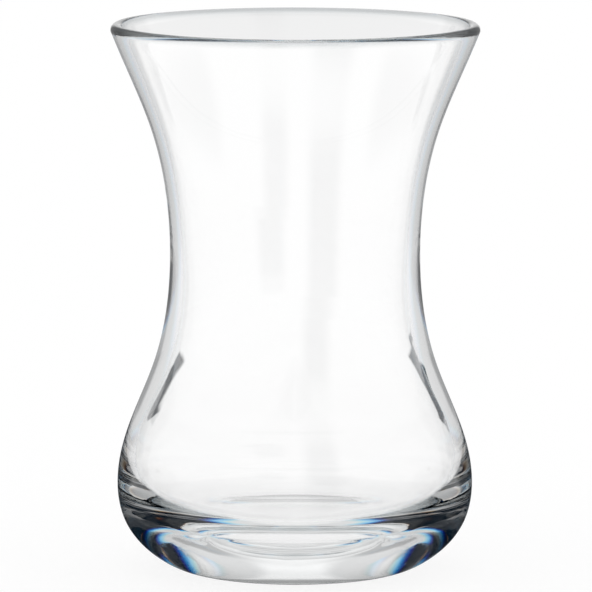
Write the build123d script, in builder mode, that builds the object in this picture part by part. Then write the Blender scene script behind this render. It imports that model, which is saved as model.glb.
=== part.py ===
from build123d import *
import math
import os

# Tulip-shaped tea glass: one piece of clear soda-lime glass, with a thick solid base.
# +Z is its axis, and the origin is the centre of the flat ring that it stands on.

# Overall sizes, in millimetres
height = 90.0
lip_radius = 30.2  # at the outside of the rounded lip
belly_radius = 28.8
waist_radius = 20.5
foot_radius = 16.0  # outer edge of the flat ring underneath

# Outer wall, from the foot up: it turns out of the foot, bellies out, narrows and flares
heel_inset = 6.5  # from the belly
heel_height = 2.1
bowl_inset = 1.0  # from the belly
bowl_height = 8.0
belly_height = 18.2
shoulder_swell = 2.6  # from the waist
shoulder_height = 34.4
waist_height = 51.5
neck_swell = 3.0  # from the waist
neck_below_lip = 17.6
flare_angle = 21.4  # of the wall at the lip, from upright

# Thickness of the wall, measured level
lip_thickness = 2.0
neck_wall = 1.8
waist_wall = 1.9
shoulder_wall = 2.4
belly_wall = 2.2

# The hollow's rounded bottom, over the solid base
floor_thickness = 6.5
hollow_belly_drop = 0.9  # how much lower the hollow is widest than the outside is
hollow_side_reach = 7.5  # how far it heads straight down from its belly
hollow_floor_reach = 20.3  # how far out it lies level, from the middle of the floor

# Underside: a shallow dome inside the flat ring
ring_width = 2.4
dome_rise = 0.45

# Places on the half section, as (radius, height)
foot = (foot_radius, 0)
heel = (belly_radius - heel_inset, heel_height)
bowl = (belly_radius - bowl_inset, bowl_height)
belly = (belly_radius, belly_height)
shoulder = (waist_radius + shoulder_swell, shoulder_height)
waist = (waist_radius, waist_height)
neck = (waist_radius + neck_swell, height - neck_below_lip)

hollow_neck = (neck[0] - neck_wall, neck[1])
hollow_waist = (waist[0] - waist_wall, waist[1])
hollow_shoulder = (shoulder[0] - shoulder_wall, shoulder[1])
hollow_belly = (belly[0] - belly_wall, belly[1] - hollow_belly_drop)
hollow_side = (hollow_belly[0], hollow_belly[1] - hollow_side_reach)
hollow_level = (hollow_floor_reach, floor_thickness)
hollow_floor = (0, floor_thickness)
dome_top = (0, dome_rise)
ring_inside = (foot_radius - ring_width, 0)

# The lip is half a circle that runs on from the flared wall on both sides
flare = math.radians(flare_angle)
lip_round = lip_thickness / 2
lip_centre = Vector(lip_radius - lip_round, height - lip_round)
across_lip = Vector(math.cos(flare), -math.sin(flare)) * lip_round
lip_outside = lip_centre + across_lip
lip_inside = lip_centre - across_lip

# Directions in the half section
outward = (1, 0)
down = (0, -1)
up_the_flare = (math.sin(flare), math.cos(flare))
down_the_flare = (-math.sin(flare), -math.cos(flare))

with BuildPart() as glass:
    with BuildSketch(Plane.XZ):
        with BuildLine():
            TangentArc(dome_top, ring_inside, tangent=outward)
            Line(ring_inside, foot)
            Spline(
                foot, heel, bowl, belly, shoulder, waist, neck, lip_outside,
                tangents=[outward, up_the_flare], tangent_scalars=[1, 1],
            )
            TangentArc(lip_outside, lip_inside, tangent=up_the_flare)
            Spline(
                lip_inside, hollow_neck, hollow_waist, hollow_shoulder, hollow_belly,
                tangents=[down_the_flare, down], tangent_scalars=[1, 1],
            )
            Bezier(hollow_belly, hollow_side, hollow_level, hollow_floor)
            Line(hollow_floor, dome_top)
        make_face()
    revolve(axis=Axis.Z)
glass.part.label = "glass"

os.makedirs("parts", exist_ok=True)
export_step(glass.part, "parts/glass.step")
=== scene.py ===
import math

import bpy
import numpy as np
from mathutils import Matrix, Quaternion, Vector


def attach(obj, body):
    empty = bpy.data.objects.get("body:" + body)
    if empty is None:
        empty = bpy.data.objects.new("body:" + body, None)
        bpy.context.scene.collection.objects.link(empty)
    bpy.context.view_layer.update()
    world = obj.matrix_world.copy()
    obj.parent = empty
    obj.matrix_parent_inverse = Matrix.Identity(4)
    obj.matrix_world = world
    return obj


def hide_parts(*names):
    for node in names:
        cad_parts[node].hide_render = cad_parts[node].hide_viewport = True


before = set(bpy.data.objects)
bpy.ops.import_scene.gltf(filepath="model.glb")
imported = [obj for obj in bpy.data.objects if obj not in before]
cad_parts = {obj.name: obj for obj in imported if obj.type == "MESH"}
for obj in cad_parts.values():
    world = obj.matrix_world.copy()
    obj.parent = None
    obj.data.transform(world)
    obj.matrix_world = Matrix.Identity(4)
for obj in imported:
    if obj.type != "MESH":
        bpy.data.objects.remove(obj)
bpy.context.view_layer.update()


# The outside of the glass. Soda-lime glass is blown into a closed mould, so the outside is fair
# and even all round. From the flat ring that it stands on, it turns out into a round belly,
# narrows to the waist that the fingers hold, and flares to the mouth. Radius, height, in mm.
HEIGHT = 90.0
LIP_RADIUS = 30.2
LIP_THICKNESS = 2.0
FLARE = math.radians(21.4)
FOOT = (16.0, 0.0)
HEEL = (22.3, 2.1)
BOWL = (27.8, 8.0)
BELLY = (28.8, 18.2)
SHOULDER = (23.1, 34.4)
WAIST = (20.5, 51.5)
NECK = (23.5, HEIGHT - 17.6)


def fair_knots(places, start, end):
    """Bezier knots (place, handle before, handle after) of the smooth curve through places.

    start and end are its directions there. The slopes are solved so that it bends evenly."""
    p = np.array(places, float)
    chord = np.linalg.norm(np.diff(p, axis=0), axis=1)
    matrix = np.eye(len(p))
    right = np.zeros_like(p)
    right[0], right[-1] = start, end
    for i in range(1, len(p) - 1):
        before, after = chord[i - 1], chord[i]
        matrix[i, i - 1:i + 2] = after, 2 * (before + after), before
        right[i] = 3 * (before / after * (p[i + 1] - p[i]) + after / before * (p[i] - p[i - 1]))
    slope = np.linalg.solve(matrix, right)
    reach = np.concatenate(([0], chord, [0])) / 3
    return [
        (p[i], p[i] - slope[i] * reach[i], p[i] + slope[i] * reach[i + 1])
        for i in range(len(p))]


lip_round = LIP_THICKNESS / 2
lip_centre = np.array((LIP_RADIUS - lip_round, HEIGHT - lip_round))
across_lip = lip_round * np.array((math.cos(FLARE), -math.sin(FLARE)))
up_the_flare = np.array((math.sin(FLARE), math.cos(FLARE)))
outside = fair_knots(
    [FOOT, HEEL, BOWL, BELLY, SHOULDER, WAIST, NECK, lip_centre + across_lip],
    (1, 0), up_the_flare)


# The underside. The mould's base plate leaves a flat ring to stand on, and a shallow dome
# inside it, so that the glass doesn't rock.
RING_WIDTH = 2.4
DOME_RISE = 0.45


def arc_knots(centre, radius, first, last, parts):
    """Bezier knots of a round arc, anticlockwise from angle first to angle last."""
    step = (last - first) / parts
    reach = 4 / 3 * math.tan(step / 4) * radius
    knots = []
    for i in range(parts + 1):
        angle = first + i * step
        place = np.array(centre) + radius * np.array((math.cos(angle), math.sin(angle)))
        along = np.array((-math.sin(angle), math.cos(angle))) * reach
        knots.append((place, place - along, place + along))
    return knots


ring_inside = FOOT[0] - RING_WIDTH
dome_radius = (ring_inside ** 2 + DOME_RISE ** 2) / (2 * DOME_RISE)
dome_angle = math.asin(ring_inside / dome_radius)
dome_centre = (0, DOME_RISE - dome_radius)
mirrored_dome = arc_knots(dome_centre, dome_radius, math.pi / 2, math.pi / 2 + dome_angle, 1)
dome = [[point * (-1, 1) for point in knot] for knot in mirrored_dome]
ring = fair_knots([(ring_inside, 0), FOOT], (1, 0), (1, 0))


# The lip. The cut edge is melted round in a flame, so it is half a circle that runs on from
# the flared wall on both sides.
lip = arc_knots(lip_centre, lip_round, -FLARE, math.pi - FLARE, 2)


# The hollow for the tea. The blown wall is about 2 mm thick, a little more over the belly, and
# the glass left at the bottom of the mould makes a thick solid base under a round bowl.
NECK_WALL = 1.8
WAIST_WALL = 1.9
SHOULDER_WALL = 2.4
FLOOR_THICKNESS = 6.5
HOLLOW_BELLY = (26.6, 17.3)
HOLLOW_SIDE_REACH = 7.5
HOLLOW_FLOOR_REACH = 20.3

hollow_wall = fair_knots(
    [
        lip_centre - across_lip,
        (NECK[0] - NECK_WALL, NECK[1]),
        (WAIST[0] - WAIST_WALL, WAIST[1]),
        (SHOULDER[0] - SHOULDER_WALL, SHOULDER[1]),
        HOLLOW_BELLY,
    ],
    -up_the_flare, (0, -1))
hollow_belly = np.array(HOLLOW_BELLY)
hollow_middle = np.array((0, FLOOR_THICKNESS))
hollow_floor = [
    (hollow_belly, hollow_belly, hollow_belly - (0, HOLLOW_SIDE_REACH)),
    (hollow_middle, hollow_middle + (HOLLOW_FLOOR_REACH, 0), hollow_middle),
]


# The wall of the glass, in one piece: one line from the axis underneath, up the outside, over
# the lip and down the inside to the axis again, turned all the way round.
MM = 0.001
STEPS_ALONG = 18
STEPS_AROUND = 288
SEAM_REACH = 0.000001  # metres: closer points are the same point


def joined(*runs):
    """One row of knots out of runs that meet end to end."""
    line = list(runs[0])
    for run in runs[1:]:
        place, before, _ = line[-1]
        line[-1] = (place, before, run[0][2])
        line += run[1:]
    return line


half_section = joined(dome, ring, outside, lip, hollow_wall, hollow_floor)
curve = bpy.data.curves.new("half_section", "CURVE")
curve.dimensions = "3D"
curve.resolution_u = STEPS_ALONG
spline = curve.splines.new("BEZIER")
spline.bezier_points.add(len(half_section) - 1)
for knot, (place, before, after) in zip(spline.bezier_points, half_section):
    knot.handle_left_type = knot.handle_right_type = "FREE"
    knot.co = (place[0] * MM, 0, place[1] * MM)
    knot.handle_left = (before[0] * MM, 0, before[1] * MM)
    knot.handle_right = (after[0] * MM, 0, after[1] * MM)
section = bpy.data.objects.new("half_section", curve)
bpy.context.scene.collection.objects.link(section)


def add_node(tree, kind, settings=None, **links):
    """Adds a node, sets its properties and its sockets by number or name, and returns it.

    A link's value is a plain value or another node's output."""
    node = tree.nodes.new(kind)
    for name, value in (settings or {}).items():
        setattr(node, name, value)
    for name, value in links.items():
        key = int(name[1:]) if name[1:].isdigit() else name.replace("_", " ")
        socket = node.inputs[key]
        if isinstance(value, bpy.types.NodeSocket):
            tree.links.new(value, socket)
        else:
            socket.default_value = value
    return node


def worked(tree, operation, *values):
    """The result of a Math node on values or outputs."""
    links = {f"_{i}": value for i, value in enumerate(values)}
    return add_node(tree, "ShaderNodeMath", {"operation": operation}, **links).outputs[0]


turning = bpy.data.node_groups.new("turned_glass", "GeometryNodeTree")
turning.interface.new_socket("Geometry", in_out="INPUT", socket_type="NodeSocketGeometry")
around_input = turning.interface.new_socket("Steps Around", in_out="INPUT", socket_type="NodeSocketInt")
finish_input = turning.interface.new_socket("Finish", in_out="INPUT", socket_type="NodeSocketMaterial")
turning.interface.new_socket("Geometry", in_out="OUTPUT", socket_type="NodeSocketGeometry")
inputs = add_node(turning, "NodeGroupInput")
steps = inputs.outputs["Steps Around"]
line = add_node(turning, "GeometryNodeCurveToMesh", Curve=inputs.outputs["Geometry"])
size = add_node(
    turning, "GeometryNodeAttributeDomainSize", {"component": "MESH"}, Geometry=line.outputs[0])
rows = size.outputs["Point Count"]
columns = worked(turning, "ADD", steps, 1)
grid = add_node(turning, "GeometryNodeMeshGrid", Vertices_X=columns, Vertices_Y=rows)
index = add_node(turning, "GeometryNodeInputIndex")
row = worked(turning, "MODULO", index.outputs[0], rows)
column = worked(turning, "FLOOR", worked(turning, "DIVIDE", index.outputs[0], rows))
angle = worked(turning, "MULTIPLY", worked(turning, "DIVIDE", column, steps), 2 * math.pi)
here = add_node(turning, "GeometryNodeInputPosition")
on_line = add_node(
    turning, "GeometryNodeSampleIndex", {"data_type": "FLOAT_VECTOR", "domain": "POINT"},
    Geometry=line.outputs[0], Value=here.outputs[0], Index=row)
turned = add_node(
    turning, "ShaderNodeVectorRotate", {"rotation_type": "Z_AXIS"},
    Vector=on_line.outputs[0], Angle=angle)
shaped = add_node(
    turning, "GeometryNodeSetPosition", Geometry=grid.outputs[0], Position=turned.outputs[0])
closed = add_node(
    turning, "GeometryNodeMergeByDistance", Geometry=shaped.outputs[0], Distance=SEAM_REACH)
smooth = add_node(turning, "GeometryNodeSetShadeSmooth", Geometry=closed.outputs[0])
realized = add_node(turning, "GeometryNodeRealizeInstances", Geometry=smooth.outputs[0])
finished = add_node(
    turning, "GeometryNodeSetMaterial", Geometry=realized.outputs[0], Material=inputs.outputs["Finish"])
add_node(turning, "NodeGroupOutput", Geometry=finished.outputs[0])


def linear(code):
    """A colour written as sRGB hex, in linear light with full alpha."""
    parts = [int(code[i:i + 2], 16) / 255 for i in (1, 3, 5)]
    return [p / 12.92 if p <= 0.04045 else ((p + 0.055) / 1.055) ** 2.4 for p in parts] + [1]


def rise(tree, value, start, end):
    """Rises softly from 0 at start to 1 at end."""
    return add_node(
        tree, "ShaderNodeMapRange", {"interpolation_type": "SMOOTHSTEP"},
        Value=value, From_Min=start, From_Max=end).outputs[0]


def fall(tree, value, start, end):
    """Falls softly from 1 at start to 0 at end."""
    return worked(tree, "SUBTRACT", 1, rise(tree, value, start, end))


# Painted shade: the top of the lip is greyed, for the darker band that its round edge shows.
LIP_PAINTED_SHADE = "#CACED0"
LIP_PAINTED_SHADE_BELOW = (1.5, 0.3)    # mm under the top, where the painted shade starts and where it is full
GLASS_DEPTH = "#E6EDEE"        # what white turns to along 1 / DEPTH_DENSITY metres of glass
DEPTH_DENSITY = 3.0
GLASS_IOR = 1.52
CORDS = 90                     # per metre: one about every 11 mm round, and four times as tall
RIPPLES = 300                  # per metre: one about every 3 mm
SCUFFS = 1800                  # per metre: one about every 0.6 mm, coarser than grit to show
UNEVENNESS = 0.00003           # metres between the high and low places of the polished surface
RING_FADE = (0.04, 0.25)       # mm up from the table, where the scuffs thin out and end
SCUFF_ROUGHNESS = 0.15


def clear_glass():
    """Clear soda-lime glass, polished by its own flow, with its foot ring scuffed by use.

    The blown wall keeps faint upright cords and ripples, and its flamed lip has a little grey painted on
    as shade."""
    material = bpy.data.materials.new("clear_soda_lime_glass")
    material.use_nodes = True
    tree = material.node_tree
    tree.nodes.clear()
    where = add_node(tree, "ShaderNodeTexCoord").outputs["Object"]
    split = add_node(tree, "ShaderNodeSeparateXYZ", Vector=where)
    level = split.outputs["Z"]
    flat = add_node(tree, "ShaderNodeCombineXYZ", X=split.outputs["X"], Y=split.outputs["Y"])
    reach = add_node(
        tree, "ShaderNodeVectorMath", {"operation": "LENGTH"}, Vector=flat.outputs[0]).outputs["Value"]

    drawn = add_node(tree, "ShaderNodeMapping", Vector=where, Scale=(1, 1, 0.25))
    cords = add_node(tree, "ShaderNodeTexNoise", Vector=drawn.outputs[0], Scale=CORDS, Detail=2)
    ripples = add_node(tree, "ShaderNodeTexNoise", Vector=where, Scale=RIPPLES, Detail=2)
    uneven = worked(tree, "MULTIPLY_ADD", ripples.outputs["Fac"], 0.08, cords.outputs["Fac"])

    foot_ring = worked(
        tree, "MULTIPLY", fall(tree, level, RING_FADE[0] * MM, RING_FADE[1] * MM),
        rise(tree, reach, (ring_inside - 0.3) * MM, (ring_inside + 0.2) * MM))
    rubbed = add_node(
        tree, "ShaderNodeTexNoise", Vector=where, Scale=SCUFFS, Detail=3, Distortion=0.6)
    scuffs = worked(tree, "MULTIPLY", foot_ring, rise(tree, rubbed.outputs["Fac"], 0.5, 0.75))
    uneven = worked(tree, "MULTIPLY_ADD", scuffs, -0.1, uneven)
    bump = add_node(tree, "ShaderNodeBump", Height=uneven, Distance=UNEVENNESS)
    roughness = worked(tree, "MULTIPLY", scuffs, SCUFF_ROUGHNESS)

    # Painted shade: grey is mixed into the glass colour near the top of the lip.
    painted_lip_shade = rise(tree, level, (HEIGHT - LIP_PAINTED_SHADE_BELOW[0]) * MM, (HEIGHT - LIP_PAINTED_SHADE_BELOW[1]) * MM)
    colour = add_node(
        tree, "ShaderNodeMix", {"data_type": "RGBA"}, _0=painted_lip_shade, _6=(1, 1, 1, 1), _7=linear(LIP_PAINTED_SHADE))
    body = add_node(
        tree, "ShaderNodeBsdfPrincipled", Base_Color=colour.outputs[2], Roughness=roughness,
        IOR=GLASS_IOR, Transmission_Weight=1.0, Normal=bump.outputs[0])
    depth = add_node(
        tree, "ShaderNodeVolumeAbsorption", Color=linear(GLASS_DEPTH), Density=DEPTH_DENSITY)
    add_node(tree, "ShaderNodeOutputMaterial", Surface=body.outputs[0], Volume=depth.outputs[0])
    return material


modifier = section.modifiers.new("turned", "NODES")
modifier.node_group = turning
modifier[around_input.identifier] = STEPS_AROUND
modifier[finish_input.identifier] = clear_glass()
bpy.context.view_layer.update()
evaluated = section.evaluated_get(bpy.context.evaluated_depsgraph_get())
wall_mesh = bpy.data.meshes.new_from_object(evaluated)
bpy.data.objects.remove(section)
wall = bpy.data.objects.new("glass_wall", wall_mesh)
bpy.context.scene.collection.objects.link(wall)
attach(wall, "root")
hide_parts("glass")


# The room. A white table and a white backdrop are lit evenly, and whatever the glass shows
# straight through it is white, but for two painted dark uprights. Its mirror-like insides and
# edges show painted reflections: the dark sides of a room are painted into the colour of the
# table and the world, and only rays that came off or through the glass see them, by how often
# they were mirrored or passed through it. This is what draws a clear glass on a white ground.
# The colour of the painted reflections of the dark room.
PAINTED_REFLECTION_DARK = "#08131D"
SPREAD = 1.6                   # degrees by which the red and blue of the painted dark edges are shifted apart, painted colour fringes

# The dark parts start and end at these degrees to the side, or upward in the names with UP, or
# these metres over the table in the names with OUT. A third number is how softly both edges fade.
GLANCED = (10, 55, 5)          # painted reflection in the outside of the glass at its edges
GLANCED_UP = (16, 40)
GLANCED_OUT = (0.32, 0.45)
GLANCED_DARK, GLANCED_MORE_NEARBY = 0.7, 0.4
ONCE_AHEAD = (0, 17, 4)        # painted reflection seen by light mirrored once inside the glass
ONCE_ASIDE = (17, 39, 6)
ONCE_UP = (52, 68)
ONCE_AHEAD_DARK, ONCE_ASIDE_DARK = 0.64, 0.18
FRONT_EDGE = (23, 35)          # where the white ahead ends and the painted dark sides begin, in the base
FRONT_EDGE_SPREAD = 1.6        # times as wide as SPREAD: the painted fringes are wider in the base, as the thick base bends light further
RIGHT_PAINTED_POST = (15, 24.5, 0.8)   # two painted dark uprights, seen only through the glass wall, which the belly bends into thin streaks
LEFT_PAINTED_POST = (-17.5, -12.2, 0.8)


def between(tree, value, start, end, soft):
    """1 from start to end and 0 outside them, with soft edges."""
    started = rise(tree, value, start - soft, start + soft)
    ended = rise(tree, value, end - soft, end + soft)
    return worked(tree, "SUBTRACT", started, ended)


def all_of(tree, *values):
    """The product of values."""
    product = values[0]
    for value in values[1:]:
        product = worked(tree, "MULTIPLY", product, value)
    return product


def sum_of(tree, *values):
    """The sum of values."""
    total = values[0]
    for value in values[1:]:
        total = worked(tree, "ADD", total, value)
    return total


def ray_kinds(tree):
    """How a ray came: off the outside, or through the glass straight, once mirrored or deep."""
    path = add_node(tree, "ShaderNodeLightPath")
    mirrored = path.outputs["Glossy Depth"]
    passed = path.outputs["Transmission Depth"]
    seen = worked(tree, "SUBTRACT", 1, path.outputs["Is Diffuse Ray"])
    entered = all_of(tree, seen, worked(tree, "GREATER_THAN", passed, 0.5))
    clear = worked(tree, "LESS_THAN", mirrored, 0.5)
    deep = worked(tree, "GREATER_THAN", mirrored, 1.5)
    bounced = worked(tree, "SUBTRACT", 1, clear)
    once = worked(tree, "SUBTRACT", bounced, deep)
    twice_passed = worked(tree, "LESS_THAN", passed, 2.5)
    return {
        "outside": all_of(tree, seen, bounced, worked(tree, "LESS_THAN", passed, 0.5)),
        "mouth": all_of(tree, entered, clear, twice_passed),
        "wall": all_of(tree, entered, clear, worked(tree, "SUBTRACT", 1, twice_passed)),
        "once": all_of(tree, entered, once),
        "deep": all_of(tree, entered, deep),
    }


def painted_reflection_colour(tree, direction, painted_dark_part):
    """White, made darker by painted dark reflections as much as the given function of turn and shift
    says, with turn in degrees from straight ahead.
    """
    split = add_node(tree, "ShaderNodeSeparateXYZ", Vector=direction)
    radians = worked(tree, "ARCTAN2", split.outputs[0], split.outputs[1])
    turn = worked(tree, "MULTIPLY", radians, 180 / math.pi)
    parts = {}
    # Painted colour fringes: red and blue take the painted dark parts at turns shifted apart by SPREAD.
    for name, shift, dark in zip(("Red", "Green", "Blue"), (-SPREAD, 0, SPREAD), linear(PAINTED_REFLECTION_DARK)):
        amount = worked(tree, "MINIMUM", painted_dark_part(turn, shift), 1)
        parts[name] = worked(tree, "MULTIPLY_ADD", amount, dark - 1, 1)
    return add_node(tree, "ShaderNodeCombineColor", **parts).outputs[0]


def painted_dark_sides(tree, kinds, turn, shift, low):
    """How dark the painted reflections of the room's sides are, with low(start, end) falling from 1 to 0
    upward.
    """
    side = worked(tree, "ABSOLUTE", turn)
    outside = all_of(
        tree, kinds["outside"], between(tree, side, *GLANCED), low(*GLANCED_UP), GLANCED_DARK)
    once = all_of(
        tree, kinds["once"], low(*ONCE_UP), sum_of(
            tree, worked(tree, "MULTIPLY", between(tree, side, *ONCE_AHEAD), ONCE_AHEAD_DARK),
            worked(tree, "MULTIPLY", between(tree, side, *ONCE_ASIDE), ONCE_ASIDE_DARK)))
    start, end = FRONT_EDGE
    front = rise(tree, side, start + FRONT_EDGE_SPREAD * shift, end + FRONT_EDGE_SPREAD * shift)
    return side, outside, once, front


def painted_posts(tree, turn):
    """The two painted dark uprights, seen only through the glass wall."""
    return sum_of(tree, between(tree, turn, *RIGHT_PAINTED_POST), between(tree, turn, *LEFT_PAINTED_POST))


PAINT_SHARE = 0.15             # of the table's white; it takes the shadow, and the rest glows
FOOT_SHADE_OUT = (0.020, 0.026)   # painted shadow round the foot, which the outside of the base mirrors
RING_SHADE_OUT = (0.023, 0.055, 0.003)
RING_SHADE_END = (122, 138)    # the painted shadow is open towards the front
# Painted shadow on the table beside the glass, to the sides, which the outside of the glass mirrors.
CLOSE_DARK_OUT = (0.052, 0.058)
CLOSE_DARK_END_OUT = (0.10, 0.16)
CLOSE_DARK = (42, 118, 7)
CLEAR_OUT = (0.022, 0.038)     # under the foot the base mirrors white
# Painted reflections that rays deep in the base see on the table: paler at the sides and corners further
# out, and grey ahead.
PALE_SIDE, PALE_SIDE_OUT = (70, 100, 8), (0.15, 0.25)
PALE_CORNER, PALE_CORNER_OUT = (26, 46, 4), (0.09, 0.16)
GREY_AHEAD = (22, 30)
MOUTH_FAR_OUT = (0.76, 0.88)   # the mouth shows the table painted a little grey, most of all nearby
MOUTH_NEAR_OUT = (0.1, 0.32)
# Where the painted dark uprights meet the table, seen only through the glass wall.
POST_OUT = (0.6, 0.9)
POST_FOOT, POST_FOOT_OUT = (21.5, 28, 0.8), (0.42, 0.5)
# A painted dark patch behind the viewer, seen in the outside of the glass and by light mirrored once
# inside it.
BEHIND, BEHIND_OUT = (141, 168, 6), (0.08, 0.12)


def white_table():
    """Smooth white laminate that mostly glows, with painted reflections of a dark room and a painted
    shadow round the glass's foot in its colour.
    """
    material = bpy.data.materials.new("white_table")
    material.use_nodes = True
    tree = material.node_tree
    tree.nodes.clear()
    where = add_node(tree, "ShaderNodeTexCoord").outputs["Object"]
    away = add_node(tree, "ShaderNodeVectorMath", {"operation": "LENGTH"}, Vector=where).outputs["Value"]
    kinds = ray_kinds(tree)
    clear_of_foot = rise(tree, away, *CLEAR_OUT)

    def painted_dark_part(turn, shift):
        side, outside, once, front = painted_dark_sides(tree, kinds, turn, shift, lambda start, end: 1)
        ring_shade = all_of(
            tree, between(tree, away, *RING_SHADE_OUT), fall(tree, side, *RING_SHADE_END))
        close_dark = all_of(
            tree, rise(tree, away, *CLOSE_DARK_OUT), fall(tree, away, *CLOSE_DARK_END_OUT),
            between(tree, side, *CLOSE_DARK))
        # Painted shadow round the foot, seen only in the outside of the glass.
        by_foot = all_of(
            tree, kinds["outside"],
            sum_of(tree, fall(tree, away, *FOOT_SHADE_OUT), ring_shade, close_dark))
        pale_side = all_of(
            tree, between(tree, side, *PALE_SIDE), rise(tree, away, *PALE_SIDE_OUT), -0.22)
        pale_corner = all_of(
            tree, between(tree, side, *PALE_CORNER), rise(tree, away, *PALE_CORNER_OUT), -0.35)
        grey_ahead = worked(tree, "MULTIPLY", fall(tree, side, *GREY_AHEAD), 0.3)
        deep = all_of(
            tree, kinds["deep"], clear_of_foot,
            sum_of(tree, front, pale_side, pale_corner, grey_ahead))
        mouth = all_of(
            tree, kinds["mouth"], sum_of(
                tree, worked(tree, "MULTIPLY", rise(tree, away, *MOUTH_FAR_OUT), 0.08),
                worked(tree, "MULTIPLY", fall(tree, away, *MOUTH_NEAR_OUT), 0.14), 0.05))
        beyond = rise(tree, away, *POST_OUT)
        nearer = all_of(
            tree, rise(tree, away, *POST_FOOT_OUT), worked(tree, "SUBTRACT", 1, beyond))
        far = all_of(
            tree, kinds["wall"], sum_of(
                tree, all_of(tree, beyond, painted_posts(tree, turn)),
                all_of(tree, nearer, between(tree, turn, *POST_FOOT))))
        behind = all_of(
            tree, sum_of(tree, kinds["outside"], kinds["once"]), between(tree, turn, *BEHIND),
            rise(tree, away, *BEHIND_OUT), 0.9)
        nearby = worked(
            tree, "MULTIPLY_ADD", fall(tree, away, *GLANCED_OUT), GLANCED_MORE_NEARBY, 1)
        near_sides = all_of(tree, outside, nearby)
        return sum_of(
            tree, worked(tree, "MAXIMUM", near_sides, by_foot), once, deep, mouth, far, behind)

    colour = painted_reflection_colour(tree, where, painted_dark_part)
    glow = add_node(tree, "ShaderNodeEmission", Color=colour, Strength=1)
    paint = add_node(tree, "ShaderNodeBsdfDiffuse", Color=colour)
    shaded = add_node(
        tree, "ShaderNodeMixShader", _0=PAINT_SHARE, _1=glow.outputs[0], _2=paint.outputs[0])
    add_node(tree, "ShaderNodeOutputMaterial", Surface=shaded.outputs[0])
    return material


FLOOR_SIZE = 40.0
AIR_FILM = 0.0001      # a glass touches a table at a few points only, so its foot stays a mirror
half = FLOOR_SIZE / 2
floor_mesh = bpy.data.meshes.new("floor")
corners = [(x * half, y * half, -AIR_FILM) for x, y in ((-1, -1), (1, -1), (1, 1), (-1, 1))]
floor_mesh.from_pydata(corners, [], [(0, 1, 2, 3)])
floor_mesh.materials.append(white_table())
floor = bpy.data.objects.new("floor", floor_mesh)
bpy.context.scene.collection.objects.link(floor)

SIDES_UP = (40, 57)            # the painted dark sides end upward
BACK_EDGE = (122, 138)         # the painted dark room is paler behind the viewer
PALE_WALL, PALE_WALL_UP = (60, 70), (9, 14)
WINDOW = (24, 30)              # the white ahead is painted a little grey, as the base shows it
# Painted reflections: rays deep in the glass see a white spot in the grey ahead, a dark sill low ahead
# and a grey ceiling; rays through the mouth see a little grey; the painted uprights end upward; light
# mirrored once inside sees two dark beams; and the outside of the glass and light mirrored once see a
# dark patch behind the viewer.
SPOT, SPOT_UP = (2.5, 5.5), (10, 18)
SILL, SILL_UP = (10, 18), (5, 10)
CEILING_UP = (44, 60)
POST_UP = (4.5, 7)
RIGHT_BEAM, RIGHT_BEAM_UP = (35, 42.5, 1), (8.5, 15.5, 1)
LEFT_BEAM, LEFT_BEAM_UP = (-51, -44, 1), (11.5, 17.5, 1)
BACKDROP_BEHIND, BEHIND_UP = (150, 172, 6), (25, 45)

world = bpy.data.worlds.new("studio")
bpy.context.scene.world = world
world.use_nodes = True
tree = world.node_tree
tree.nodes.clear()
way = add_node(tree, "ShaderNodeTexCoord").outputs["Generated"]
height = add_node(tree, "ShaderNodeSeparateXYZ", Vector=way).outputs["Z"]
upward = worked(tree, "MULTIPLY", worked(tree, "ARCSINE", height), 180 / math.pi)
kinds = ray_kinds(tree)


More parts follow.
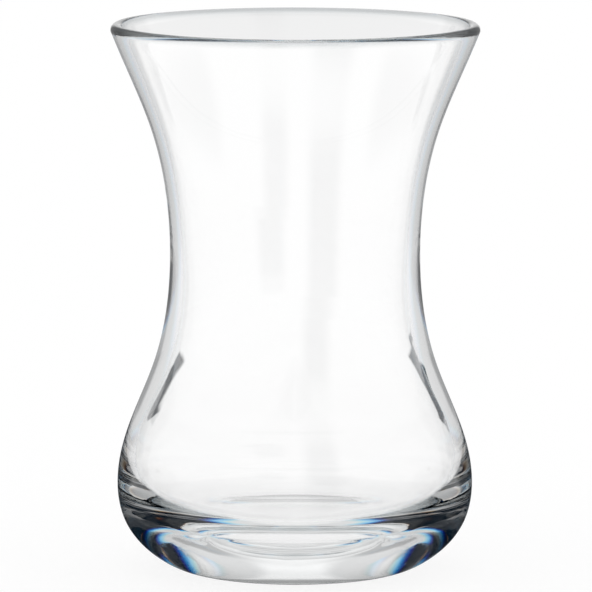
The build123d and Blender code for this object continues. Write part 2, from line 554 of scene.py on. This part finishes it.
def painted_dark_room(turn, shift):
    """How dark the painted reflections of the backdrop and the room are in a direction, for each kind of
    ray.
    """
    side, outside, once, front = painted_dark_sides(
        tree, kinds, turn, shift, lambda start, end: fall(tree, upward, start, end))
    white_back = worked(
        tree, "MULTIPLY", rise(tree, side, BACK_EDGE[0] + shift, BACK_EDGE[1] + shift), -0.3)
    pale_wall = all_of(
        tree, rise(tree, side, PALE_WALL[0] + shift, PALE_WALL[1] + shift),
        rise(tree, upward, *PALE_WALL_UP), -0.42)
    spot = all_of(tree, fall(tree, side, *SPOT), fall(tree, upward, *SPOT_UP))
    sill = all_of(tree, fall(tree, side, *SILL), fall(tree, upward, *SILL_UP), 0.55)
    window = all_of(tree, fall(tree, side, *WINDOW), worked(tree, "SUBTRACT", 1, spot), 0.28)
    sides = all_of(tree, fall(tree, upward, *SIDES_UP), sum_of(tree, front, white_back, pale_wall))
    ceiling = worked(tree, "MULTIPLY", rise(tree, upward, *CEILING_UP), 0.14)
    deep = all_of(
        tree, kinds["deep"], sum_of(tree, sides, worked(tree, "MAXIMUM", window, sill), ceiling))
    mouth = all_of(tree, kinds["mouth"], 0.13)
    far = all_of(tree, kinds["wall"], fall(tree, upward, *POST_UP), painted_posts(tree, turn))
    beams = all_of(
        tree, kinds["once"], sum_of(
            tree, all_of(tree, between(tree, turn, *RIGHT_BEAM), between(tree, upward, *RIGHT_BEAM_UP)),
            all_of(tree, between(tree, turn, *LEFT_BEAM), between(tree, upward, *LEFT_BEAM_UP))))
    behind = all_of(
        tree, sum_of(tree, kinds["outside"], kinds["once"]),
        between(tree, turn, *BACKDROP_BEHIND), fall(tree, upward, *BEHIND_UP), 0.9)
    return sum_of(tree, outside, once, deep, mouth, far, beams, behind)


colour = painted_reflection_colour(tree, way, painted_dark_room)
back = add_node(tree, "ShaderNodeBackground", Color=colour, Strength=1)
add_node(tree, "ShaderNodeOutputWorld", Surface=back.outputs[0])

bpy.context.scene.cycles.max_bounces = 64
bpy.context.scene.cycles.glossy_bounces = 64
bpy.context.scene.cycles.transmission_bounces = 64


# The camera: a long lens from a little above, so that the mouth shows as a narrow ring.
camera_data = bpy.data.cameras.new("camera")
camera_data.sensor_width = 36
camera_data.lens = 448.9
camera_data.clip_end = 100
camera = bpy.data.objects.new("camera", camera_data)
camera.location = (0, -1.2, 0.1991)
look = Vector((0.00016, 0, 0.04514)) - camera.location
camera.rotation_mode = "QUATERNION"
camera.rotation_quaternion = look.to_track_quat("-Z", "Y") @ Quaternion((0, 0, 1), math.radians(0.083))
bpy.context.scene.collection.objects.link(camera)
bpy.context.scene.camera = camera
bpy.context.scene.view_settings.view_transform = "Standard"
